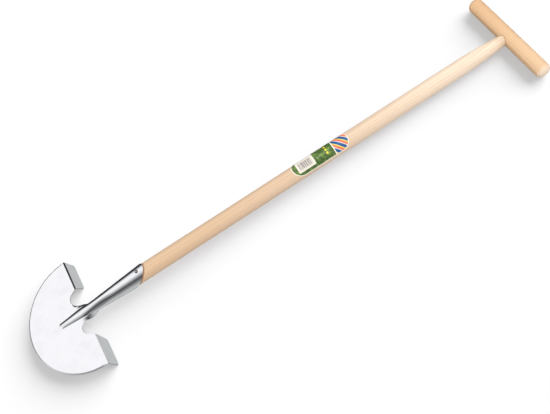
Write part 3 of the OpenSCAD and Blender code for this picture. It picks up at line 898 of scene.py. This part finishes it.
def head_mesh(head):
    """The head: the strip, the treads and the ground edge, joined by the flat of the blade."""
    form = HeadForm(head)
    sheet = SheetMesh()
    t = head.sheet_t

    strip = form.strip()
    behind = strip - t * grid_normals(strip)
    down = form.on_blade(0, 0, -t) - form.on_blade(0, 0, 0)
    on_plate = int(np.sum(strip[:, 0, 0] <= form.roll_from + WELD))
    for column in (0, -1):
        behind[:on_plate, column] = strip[:on_plate, column] + down
    behind[0] = strip[0] + down
    sheet.grid(strip, behind)

    front, back, hem_y = form.tread_rows()
    mirror = np.array((1, -1, 1))
    sheet.grid(front, back)
    sheet.grid(front[:, ::-1] * mirror, back[:, ::-1] * mirror)

    x_in, y_in, turn = form.arc(head.bevel_w)
    x_out, y_out, _ = form.arc(0)
    run = np.minimum(turn - turn[0], turn[-1] - turn) * form.arc_r
    fade = 3 * head.bevel_w
    ground = (t - head.edge_t) * smooth(run / fade)
    inner = form.on_blade(x_in, y_in)
    outer = form.on_blade(x_out, y_out, -ground)
    sheet.grid(
        np.array((inner, outer)),
        np.array((inner + down, form.on_blade(x_out, y_out, -t))),
        ground=1.0,
    )

    mid_x, mid_y = form.notch_mid
    low_x = form.roll_from / math.cos(head.blade_crank)
    start = math.atan2(form.strip_w - mid_y, low_x - mid_x) % (2 * math.pi)
    turns = np.linspace(start, form.touch % (2 * math.pi), form.NOTCH_POINTS)
    notch_x = mid_x + head.notch_r * np.cos(turns)
    notch_y = mid_y + head.notch_r * np.sin(turns)
    notch = form.on_blade(notch_x[1:], notch_y[1:])
    hem = form.on_blade(np.full_like(hem_y[:-1], -form.hem), hem_y[:-1])
    half = np.concatenate((notch, hem))
    outline = np.concatenate((
        half,
        inner[1:-1],
        half[::-1] * mirror,
        strip[:on_plate, 0][::-1],
        strip[0, 1:-1],
        strip[:on_plate, -1],
    ))
    sheet.panel(outline, outline + down)
    return rounded(sheet.closed("pressed_head"), head.edge_round)


# Turned and wrapped pieces made by Geometry Nodes

class Shape(Tree):
    """A Geometry Nodes tree with named number inputs, which starts from a grid and ends in one material."""

    def __init__(self, name, **sizes):
        group = bpy.data.node_groups.new(name, "GeometryNodeTree")
        super().__init__(group)
        titles = {key: key.replace("_", " ").title() for key in sizes}
        self.values = {}
        for key, value in sizes.items():
            socket = group.interface.new_socket(titles[key], in_out="INPUT", socket_type="NodeSocketFloat")
            self.values[socket.identifier] = value
        group.interface.new_socket("Geometry", in_out="OUTPUT", socket_type="NodeSocketGeometry")
        inputs = group.nodes.new("NodeGroupInput").outputs
        self.size = SimpleNamespace(**{key: Value(self, inputs[title]) for key, title in titles.items()})

    def grid(self, rows, columns):
        """A grid whose row and column numbers are fields."""
        points = {"Vertices X": rows + 1, "Vertices Y": columns + 1}
        grid = self.out("GeometryNodeMeshGrid", None, {"Size X": rows, "Size Y": columns, **points})
        x, y, _ = self.parts(self.out("GeometryNodeInputPosition"))
        return grid, x + rows / 2, y + columns / 2

    def moved(self, geometry, position):
        return self.out("GeometryNodeSetPosition", None, {"Geometry": geometry, "Position": position})

    def welded(self, geometry):
        return self.out("GeometryNodeMergeByDistance", None, {"Geometry": geometry, "Distance": WELD})

    def made(self, geometry, material):
        """Ends the tree and returns its result as a plain mesh."""
        real = self.out("GeometryNodeRealizeInstances", None, {0: geometry})
        dressed = self.out("GeometryNodeSetMaterial", None, {"Geometry": real, "Material": material})
        self.node("NodeGroupOutput", None, {0: dressed})
        obj = linked(self.tree.name, bpy.data.meshes.new(self.tree.name))
        modifier = obj.modifiers.new("Shape", "NODES")
        modifier.node_group = self.tree
        for identifier, value in self.values.items():
            modifier[identifier] = value
        return finished(obj)


def shaft_mesh(head, wood, material):
    """The shaft: a cone in the socket, a slanted shoulder, a long taper and a tenon through the grip."""
    segments = 96
    foot_rings, cone_rings, face_rings, shoulder_rings, body_rings, cap_rings = 1, 20, 1, 6, 300, 8
    tube_len = head.socket_len - head.neck_up
    shape = Shape(
        "Turned Shaft",
        foot=head.neck_up + wood.shaft_foot,
        mouth=head.socket_len + wood.rim_gap,
        rim_share=head.rim_rise / (head.socket_d / 2),
        rim_turn=head.rim_turn,
        mouth_radius=head.socket_d / 2 - head.sheet_t - wood.fit_gap,
        mouth_back=head.mouth_back,
        neck=head.neck_up,
        neck_radius=head.neck_d / 2 - head.sheet_t - wood.fit_gap,
        tube_slope=(head.socket_d - head.neck_d) / 2 / tube_len,
        neck_back=head.neck_back,
        tube_tilt=(head.neck_back - head.mouth_back) / tube_len,
        radius=wood.shaft_d / 2,
        shoulder=wood.shoulder_r,
        taper_from=wood.grip_up - wood.grip_d / 2 - wood.taper_len,
        taper_length=wood.taper_len,
        taper_power=wood.taper_power,
        tenon_radius=wood.tenon_d / 2,
        grip=wood.grip_up,
        grip_radius=wood.grip_d / 2 - wood.fit_gap,
        fit=wood.fit_gap,
    )
    size = shape.size
    face_from = foot_rings + cone_rings
    body_from = face_from + face_rings + shoulder_rings
    cap_from = body_from + body_rings
    grid, ring, column = shape.grid(cap_from + cap_rings, segments)
    phi = column * (2 * math.pi / segments)
    foot_k = ring.share(0, foot_rings)
    cone_k = ring.share(foot_rings, cone_rings)
    face_k = ring.share(face_from, face_rings)
    turn = ring.share(face_from + face_rings, shoulder_rings) * (math.pi / 2)
    body_k = ring.share(body_from, body_rings)
    cap_k = ring.share(cap_from, cap_rings)
    side = (phi - size.rim_turn).cos()
    tilt = size.rim_turn.cos()
    flare = size.rim_share * (size.tube_slope * side + size.tube_tilt * tilt)
    inner = size.mouth + size.rim_share * size.mouth_radius * side / (1 - flare)
    outer_r = size.radius - size.shoulder
    outer = size.mouth + size.rim_share * (outer_r * side + size.mouth_back * tilt)
    end_r = size.tenon_radius * (1 - cap_k)
    end = size.grip + (size.grip_radius ** 2 - (end_r * phi.cos()) ** 2).sqrt()
    x = (
        size.foot + (inner - size.foot) * cone_k + (outer - inner) * face_k
        + size.shoulder * (1 - turn.cos()) + (end - outer - size.shoulder) * body_k
    )
    taper = ((x - size.taper_from) / size.taper_length).clamp() ** size.taper_power
    body_r = taper.mix(size.radius, size.tenon_radius)
    side_r = (body_r - size.shoulder * (1 - turn.sin())) * (1 - cap_k)
    cone_r = (size.neck_radius + size.tube_slope * (x - size.neck)) * foot_k
    radius = face_k.mix(cone_r, side_r)
    back = (size.neck_back - size.tube_tilt * (x - size.neck)) * (1 - face_k)
    y, z = radius * phi.sin(), radius * phi.cos() - back
    within = ((size.radius - size.fit) / (y ** 2 + z ** 2).sqrt().clamp(WELD, 1)).clamp()
    within = face_k.mix(within, 1)
    place = shape.vector(x, y * within, z * within)
    return outward(shape.made(shape.welded(shape.moved(grid, place)), material))


def grip_mesh(wood, material):
    """The grip: a turned bar with rounded ends and a hole for the tenon."""
    segments, half_rings, end_rings, cap_rings = 112, 64, 12, 4
    shape = Shape(
        "Turned Grip",
        half_length=wood.grip_len / 2,
        radius=wood.grip_d / 2,
        end_radius=wood.grip_end_r,
        place=wood.grip_up,
        hole_radius=wood.tenon_d / 2 + wood.fit_gap,
    )
    size = shape.size
    rings = 2 * (half_rings + end_rings + cap_rings)
    grid, ring, column = shape.grid(rings, segments)
    phi = column * (2 * math.pi / segments)
    from_mid = ring - rings / 2
    out = from_mid.abs()
    turn = out.share(half_rings, end_rings) * (math.pi / 2)
    cap_k = out.share(half_rings + end_rings, cap_rings)
    straight = (size.half_length - size.end_radius) * out.share(0, half_rings)
    y = from_mid.sign() * (straight + size.end_radius * turn.sin())
    radius = (size.radius - size.end_radius * (1 - turn.cos())) * (1 - cap_k)
    place = shape.vector(size.place + radius * phi.cos(), y, radius * phi.sin())
    bar = shape.welded(shape.moved(grid, place))
    drill_size = {"Vertices": segments, "Radius": size.hole_radius, "Depth": size.radius * 4}
    drill = shape.out("GeometryNodeMeshCylinder", None, drill_size)
    drill_at = {"Rotation": (0, math.pi / 2, 0), "Translation": shape.vector(size.place, 0, 0)}
    drill = shape.out("GeometryNodeTransform", None, {"Geometry": drill, **drill_at})
    meshes = {"Mesh 1": bar, "Mesh 2": drill}
    cut = shape.out("GeometryNodeMeshBoolean", {"operation": "DIFFERENCE"}, meshes)
    return outward(shape.made(cut, material))


def film_mesh(name, material, **sizes):
    """A film with rounded corners that lies round the shaft. It keeps its flat places as an attribute."""
    rows, columns = 120, 40
    shape = Shape(name, **sizes)
    size = shape.size
    grid, row, column = shape.grid(rows, columns)
    half = size.length / 2
    along = half * ((row / rows - 0.5) * math.pi).sin()
    past = (along.abs() - half + size.corner).clamp(0, 1)
    reach = size.width / 2 - size.corner + (size.corner ** 2 - past ** 2).clamp(1e-10, 1).sqrt()
    around = (column / columns * 2 - 1) * reach
    flat = {"Geometry": grid, "Name": "film", "Value": shape.vector(along, around, 0)}
    data = {"data_type": "FLOAT_VECTOR", "domain": "POINT"}
    kept = shape.out("GeometryNodeStoreNamedAttribute", data, flat)
    turn = around / size.radius
    place = shape.vector(size.place + along, size.radius * turn.sin(), size.radius * turn.cos())
    wrapped = shape.moved(kept, place)
    raised = {"Mesh": wrapped, "Offset Scale": size.thickness, "Individual": False}
    top = shape.out("GeometryNodeExtrudeMesh", {"mode": "FACES"}, raised)
    under = shape.out("GeometryNodeFlipFaces", None, {0: wrapped})
    joined = shape.node("GeometryNodeJoinGeometry", None, {0: top})
    shape.feed(joined.inputs[0], under)
    return outward(shape.made(joined.outputs[0], material))


# Operators

class EDGER_OT_head(bpy.types.Operator):
    """Build the pressed steel head"""

    bl_idname = "edger.head"
    bl_label = "Head"

    def execute(self, context):
        head = context.scene.edger_head
        add_piece("pressed_head", head_mesh(head), plated_steel(head), "head", crease=0.2)
        return {"FINISHED"}


class EDGER_OT_shaft(bpy.types.Operator):
    """Build the ash shaft"""

    bl_idname = "edger.shaft"
    bl_label = "Shaft"

    def execute(self, context):
        head, wood = context.scene.edger_head, context.scene.edger_wood
        # Places along the grain: end of the warm tone above the socket, start of the pale one
        warm_to, pale_from = 0.2, 0.02
        origin = tool_matrix().translation

        def sunned(x):
            return (1 - x.ease(HEAD_HIGH.x, warm_to)) * 0.8

        def bleached(x):
            return x.ease(pale_from, GRIP_LOW.x) * (1 - x.ease(GRIP_LOW.x - wood.grip_d, GRIP_MID.x))

        def shade_and_dark_marks(paint):
            """Painted shade: dark lines on the wood along the rim of the socket and round the grip's hole,
            where the pieces meet.
            """
            x, y, z = paint.parts(paint.object_at())
            along = (x - origin.x) * ALONG.x + (z - origin.z) * ALONG.z
            front = (x - origin.x) * FRONT.x + (z - origin.z) * FRONT.z + head.mouth_back
            side = front * math.cos(head.rim_turn) + y * math.sin(head.rim_turn)
            past = along - head.socket_len - side * (2 * head.rim_rise / head.socket_d)
            # Painted shade along the socket's rim, where the shaft leaves it
            rim = (1 - past.ease(wood.joint_shade_w * 0.3, wood.joint_shade_w)) * 0.85
            # Painted shade round the grip's hole, where the shaft goes in
            outside = ((along - wood.grip_up) ** 2 + (front - head.mouth_back) ** 2).sqrt() - wood.grip_d / 2
            return (rim + (1 - outside.ease(0, wood.joint_shade_w / 3)) * 0.6).clamp()

        material = turned_wood(
            "clear_ash", wood, "ash", lay=(0, math.asin(ALONG.z), 0), pith=(-0.052, -0.075), ring=0.0042,
            sunned=sunned, bleached=bleached, shade_and_dark_marks=shade_and_dark_marks
        )
        add_piece("ash_shaft", shaft_mesh(head, wood, material), material, "shaft")
        return {"FINISHED"}


class EDGER_OT_grip(bpy.types.Operator):
    """Build the turned grip"""

    bl_idname = "edger.grip"
    bl_label = "Grip"

    def execute(self, context):
        wood = context.scene.edger_wood

        def sunned(x):
            return x.ease(GRIP_LOW.y, GRIP_HIGH.y) * 0.5

        def bleached(x):
            return 1 - x.ease(GRIP_LOW.y, GRIP_LOW.y + wood.grip_end_r)

        def shade_and_dark_marks(paint):
            """A dark line at the far end."""
            y = paint.parts(paint.object_at())[1]
            return y.ease(GRIP_HIGH.y - wood.grip_end_r * 0.6, GRIP_HIGH.y) * 0.8

        material = turned_wood(
            "turned_grip_wood", wood, "grip", lay=(0, 0, -math.pi / 2), pith=(0.47, 0.055), ring=0.0036,
            sunned=sunned, bleached=bleached, shade_and_dark_marks=shade_and_dark_marks
        )
        add_piece("cross_grip", grip_mesh(wood, material), material, "grip")
        return {"FINISHED"}


class EDGER_OT_wedge(bpy.types.Operator):
    """Build the wedge in the tenon"""

    bl_idname = "edger.wedge"
    bl_label = "Wedge"

    def execute(self, context):
        wood = context.scene.edger_wood
        row_count, within = 25, 0.985
        bm = bmesh.new()
        rows = []
        tenon_r, grip_r = wood.tenon_d / 2, wood.grip_d / 2 - wood.fit_gap / 2
        tip = wood.grip_up + grip_r - wood.wedge_len
        for z in np.linspace(-tenon_r, tenon_r, row_count) * within:
            reach = math.sqrt(tenon_r ** 2 - z ** 2)
            top = wood.grip_up + math.sqrt(grip_r ** 2 - z ** 2)
            near, far = min(wood.wedge_tip_t / 2, reach), min(wood.wedge_t / 2, reach)
            corners = ((tip, -near, z), (top, -far, z), (top, far, z), (tip, near, z))
            rows.append([bm.verts.new(corner) for corner in corners])
        for low, high in zip(rows, rows[1:]):
            for i in range(4):
                j = (i + 1) % 4
                bm.faces.new((low[i], low[j], high[j], high[i]))
        bm.faces.new(rows[0])
        bm.faces.new(rows[-1][::-1])
        mesh = outward(from_bmesh("driven_wedge", bm))
        material = turned_wood(
            "wedge_wood", wood, "wedge", lay=(0, -math.asin(ALONG.z), 0), pith=(0.02, 0.03), ring=0.0018,
            sunned=lambda x: 0.1
        )
        mesh = rounded(mesh, wood.fit_gap, limit=0.5)
        add_piece("driven_wedge", mesh, material, "tenon_wedge")
        return {"FINISHED"}


class EDGER_OT_nail(bpy.types.Operator):
    """Build the nail that holds the socket on the shaft"""

    bl_idname = "edger.nail"
    bl_label = "Nail"

    def execute(self, context):
        head = context.scene.edger_head
        dome_points, spin_steps = 14, 48
        form = HeadForm(head)
        at_x = head.socket_len + head.rim_rise * math.cos(head.rim_turn) - head.nail_down
        slope = (head.neck_back - head.mouth_back + form.mouth_r - form.neck_r) / form.tube_len
        head_r, shank_r, top = head.nail_head_d / 2, head.nail_d / 2, head.nail_head_h
        dome_r = (head_r ** 2 + top ** 2) / (2 * top)
        span = math.asin(head_r / dome_r)
        turns = span * np.linspace(0, 1, dome_points)
        profile = [(dome_r * math.sin(turn), top - dome_r * (1 - math.cos(turn))) for turn in turns]
        under = -head.sheet_t / 8
        rim_r = head_r * 0.99
        profile += [(rim_r, under), (shank_r, under)]
        profile += [(shank_r, -head.nail_len + 2 * shank_r), (0, -head.nail_len)]
        bm = bmesh.new()
        ring = [bm.verts.new((r, 0, z)) for r, z in profile]
        edges = [bm.edges.new(pair) for pair in zip(ring, ring[1:])]
        bmesh.ops.spin(
            bm, geom=ring + edges, cent=(0, 0, 0), axis=(0, 0, 1), angle=2 * math.pi, steps=spin_steps,
            use_duplicate=False
        )
        mesh = outward(from_bmesh("dome_nail", bm))
        mesh.transform(
            Matrix.Translation((at_x, 0, -form.tube_back(at_x)))
            @ Matrix.Rotation(-head.nail_turn, 4, "X")
            @ Matrix.Translation((0, 0, form.tube_r(at_x)))
            @ Matrix.Rotation(-math.atan(slope), 4, "Y")
        )
        steel = plated_steel(head, "nail_steel", dull=0.75)
        add_piece("dome_nail", mesh, steel, "socket_nail", crease=0.8)
        return {"FINISHED"}


class EDGER_OT_label(bpy.types.Operator):
    """Build the printed label and the paper sticker on it"""

    bl_idname = "edger.label"
    bl_label = "Label and sticker"

    def execute(self, context):
        wood, label = context.scene.edger_wood, context.scene.edger_label
        gap = wood.fit_gap / 2
        label_r = wood.shaft_d / 2 + gap
        film = printed_film(label)
        mesh = film_mesh(
            "Label", film, length=label.label_len, width=label.label_w, corner=label.label_w / 2,
            place=label.label_up, radius=label_r, thickness=label.film_t
        )
        add_piece("printed_label", mesh, film, "label")
        paper = sticker_paper(label)
        low_end = label.label_up - label.label_len / 2
        mesh = film_mesh(
            "Sticker", paper, length=label.sticker_len, width=label.sticker_w, corner=label.sticker_corner,
            place=low_end + label.sticker_in + label.sticker_len / 2,
            radius=label_r + label.film_t + gap, thickness=label.film_t
        )
        add_piece("paper_sticker", mesh, paper, "price_sticker")
        return {"FINISHED"}


class EDGER_OT_stage(bpy.types.Operator):
    """Set up the floor, the light and the camera"""

    bl_idname = "edger.stage"
    bl_label = "Stage"

    def floor(self, stage):
        reach = stage.floor_w / 2
        low = CAD_BOX[0].z
        mesh = bpy.data.meshes.new("floor")
        corners = [(-reach, -reach, low), (reach, -reach, low), (reach, reach, low), (-reach, reach, low)]
        mesh.from_pydata(corners, [], [(0, 1, 2, 3)])
        white = (1, 1, 1)
        paint = Paint(
            "floor_paper", roughness=0.8, specular_ior_level=0.1,
            emission_color=white, emission_strength=stage.floor_glow
        )
        mottle = paint.noise(paint.object_at(), scale=3)
        mesh.materials.append(paint.shade(base_color=paint.blend(mottle * 0.04, stage.floor, white)))
        floor = linked("floor", mesh)
        floor.visible_glossy = False
        return floor

    def lamp(self, name, towards, spread, power, receivers):
        """A distant softbox that lights only the given objects."""
        light = bpy.data.lights.new(name, "SUN")
        light.angle = spread
        light.energy = power
        obj = linked(name, light)
        obj.rotation_euler = (-Vector(towards)).to_track_quat("-Z", "Y").to_euler()
        obj.visible_glossy = False
        group = bpy.data.collections.new(name)
        for receiver in receivers:
            group.objects.link(receiver)
        obj.light_linking.receiver_collection = group

    def world(self, stage):
        """Even light on matt faces. Polished faces mirror a white screen, dark sides and a grey ground."""
        world = bpy.data.worlds.new("surround")
        bpy.context.scene.world = world
        world.use_nodes = True
        tree = Tree(world.node_tree)
        even = world.node_tree.nodes["Background"]
        tree.feed(even.inputs["Color"], stage.surround)
        x, y, z = tree.parts(tree.node("ShaderNodeTexCoord").outputs["Generated"])
        turn = tree.math("ARCTAN2", y, z) / (2 * math.pi) + 0.5
        white, grey = Vector(stage.dome_white), Vector(stage.dome_grey)
        dark, black = Vector(stage.dome_dark), Vector(stage.dome_black)
        stops = [
            (0.12, grey), (0.19, grey * 0.85), (0.26, grey * 0.45), (0.35, dark), (0.41, grey * 0.5),
            (0.47, white * 0.7), (0.53, white), (0.62, white * 0.98), (0.67, grey), (0.705, dark),
            (0.74, black),
        ]
        tone = tree.out("ShaderNodeValToRGB", {"stops": stops}, {0: turn})
        ground = x.ease(0.1, 0.2) * turn.ease(0.74, 0.78)
        tone = tree.blend(ground, tone, grey)
        corner = x.ease(0.02, 0.15) * y.ease(0.455, 0.49) * z.ease(-0.6, -0.45)
        tone = tree.blend(corner, tone, black)
        mirrored = tree.out("ShaderNodeBackground", None, {"Color": tone, "Strength": stage.dome_gain})
        glossy = tree.node("ShaderNodeLightPath").outputs["Is Glossy Ray"]
        mix = tree.out("ShaderNodeMixShader", None, {0: glossy, 1: even.outputs[0], 2: mirrored})
        tree.feed(world.node_tree.nodes["World Output"].inputs["Surface"], mix)

    def camera(self, stage):
        data = bpy.data.cameras.new("camera")
        data.lens = stage.lens
        data.sensor_width = 36
        data.clip_start = 0.01
        camera = linked("camera", data)
        back = -Vector(stage.look).normalized()
        right = Vector(stage.up).cross(back).normalized()
        turn = Matrix((right, back.cross(right), back)).transposed().to_4x4()
        camera.matrix_world = Matrix.Translation(Vector(stage.eye)) @ turn
        bpy.context.scene.camera = camera

    def execute(self, context):
        stage = context.scene.edger_stage
        pieces = [obj for obj in context.scene.objects if obj.type == "MESH"]
        floor = self.floor(stage)
        self.world(stage)
        self.lamp("side_light", stage.side_from, stage.side_spread, stage.side_power, [floor])
        self.lamp("top_light", stage.top_from, stage.top_spread, stage.top_power, pieces)
        self.camera(stage)
        context.scene.view_settings.view_transform = "Standard"
        return {"FINISHED"}


class EDGER_PT_panel(bpy.types.Panel):
    """Lists the edger's pieces and their sizes"""

    bl_idname = "EDGER_PT_panel"
    bl_label = "Half Moon Edger"
    bl_space_type = "VIEW_3D"
    bl_region_type = "UI"
    bl_category = "Edger"

    def draw(self, context):
        for operator in OPERATORS:
            self.layout.operator(operator.bl_idname)
        for name, group in PROPERTY_GROUPS.items():
            box = self.layout.box()
            box.label(text=group.__doc__)
            for key in group.__annotations__:
                box.prop(getattr(context.scene, name), key)


OPERATORS = (
    EDGER_OT_head,
    EDGER_OT_shaft,
    EDGER_OT_grip,
    EDGER_OT_wedge,
    EDGER_OT_nail,
    EDGER_OT_label,
    EDGER_OT_stage,
)
CLASSES = (*PROPERTY_GROUPS.values(), *OPERATORS, EDGER_PT_panel)


def register():
    for cls in CLASSES:
        bpy.utils.register_class(cls)
    for name, group in PROPERTY_GROUPS.items():
        setattr(bpy.types.Scene, name, bpy.props.PointerProperty(type=group))


def unregister():
    for name in PROPERTY_GROUPS:
        delattr(bpy.types.Scene, name)
    for cls in reversed(CLASSES):
        bpy.utils.unregister_class(cls)


def main():
    register()
    bpy.ops.edger.head()
    bpy.ops.edger.shaft()
    bpy.ops.edger.grip()
    bpy.ops.edger.wedge()
    bpy.ops.edger.nail()
    bpy.ops.edger.label()
    bpy.ops.edger.stage()


if __name__ == "__main__":
    main()
